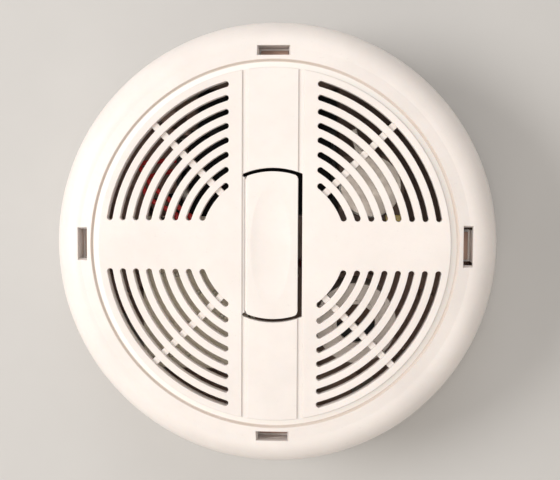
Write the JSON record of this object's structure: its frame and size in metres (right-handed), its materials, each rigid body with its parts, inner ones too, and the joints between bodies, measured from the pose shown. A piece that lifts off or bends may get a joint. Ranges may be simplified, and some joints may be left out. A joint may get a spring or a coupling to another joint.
{
  "type": "smoke detector",
  "caption": "Round ceiling smoke detector: vented cover with a hinged test flap, twist-lock mounting bracket, battery door, horn, smoke chamber and circuit board inside.",
  "frame": {"origin": "centre of the mounting bracket's back face, the face against the ceiling", "axes": "+Z out of the ceiling towards the vented front face; +X towards the free edge of the test flap and the longer rim window; +Y towards the battery"},
  "size_m": [0.1442, 0.1408, 0.044],
  "materials": {
    "cover_plastic": "satin",
    "housing_plastic": "matt",
    "bracket_plastic": "matt",
    "battery_jacket": "gloss",
    "nickel": "satin",
    "snap_vinyl": "matt",
    "red_insulation": "satin",
    "black_insulation": "satin",
    "board_laminate": "matt",
    "screw_steel": "zinc plated",
    "solder": "satin",
    "chip_resin": "matt",
    "capacitor_sleeve": "gloss",
    "capacitor_dip": "gloss",
    "film_dip": "gloss",
    "resistor_coat": "satin",
    "led_resin": "gloss",
    "chamber_insulator": "satin",
    "can_tinplate": "satin",
    "source_foil": "bright",
    "horn_plastic": "satin",
    "contact_brass": "satin",
    "piezo_ceramic": "matt"
  },
  "bodies": {
    "bracket": {"mounting_bracket": "bracket_plastic"},
    "alarm": {"rear_housing": "housing_plastic", "front_cover": "cover_plastic", "battery": "battery_jacket", "battery_terminals": "nickel", "battery_snap": "snap_vinyl", "snap_contacts": "nickel", "red_leads": "red_insulation", "black_lead": "black_insulation", "circuit_board": "board_laminate", "board_screws": "screw_steel", "solder_joints": "solder", "control_chip": "chip_resin", "chip_pins": "solder", "electrolytic_capacitors": "capacitor_sleeve", "ceramic_capacitors": "capacitor_dip", "film_capacitor": "film_dip", "resistors": "resistor_coat", "component_leads": "solder", "status_led": "led_resin", "chamber_base": "chamber_insulator", "chamber_can": "can_tinplate", "chamber_electrode": "nickel", "source_holder": "nickel", "radiation_source": "source_foil", "horn_body": "horn_plastic", "horn_cap": "horn_plastic", "piezo_disc": "contact_brass", "piezo_element": "piezo_ceramic", "horn_leads": "red_insulation", "leaf_post": "nickel", "test_contact": "contact_brass"},
    "test_flap": {"test_button": "cover_plastic"},
    "leaf": {"contact_leaf": "contact_brass"},
    "door": {"battery_door": "housing_plastic"}
  },
  "joints": [
    {"name": "twist_lock", "type": "hinge", "parent": "bracket", "child": "alarm", "pos_m": [0, 0, 0.007], "axis": [0, 0, 1], "range_deg": [0, 15]},
    {"name": "test_press", "type": "hinge", "parent": "alarm", "child": "test_flap", "pos_m": [-0.0083, 0, 0.0429], "axis": [0, 1, 0], "range_deg": [0, 7], "stiffness_Nm_per_rad": 0.3},
    {"name": "leaf_flex", "type": "hinge", "parent": "alarm", "child": "leaf", "pos_m": [-0.007, 0, 0.036], "axis": [0, 1, 0], "range_deg": [0, 9.5], "stiffness_Nm_per_rad": 0.02},
    {"name": "door_swing", "type": "hinge", "parent": "alarm", "child": "door", "pos_m": [0, 0.0058, 0.0072], "axis": [-1, 0, 0], "range_deg": [0, 100]}
  ],
  "couplings": [
    {"joint": "leaf_flex", "follows": "test_press", "ratio": 1.25}
  ]
}
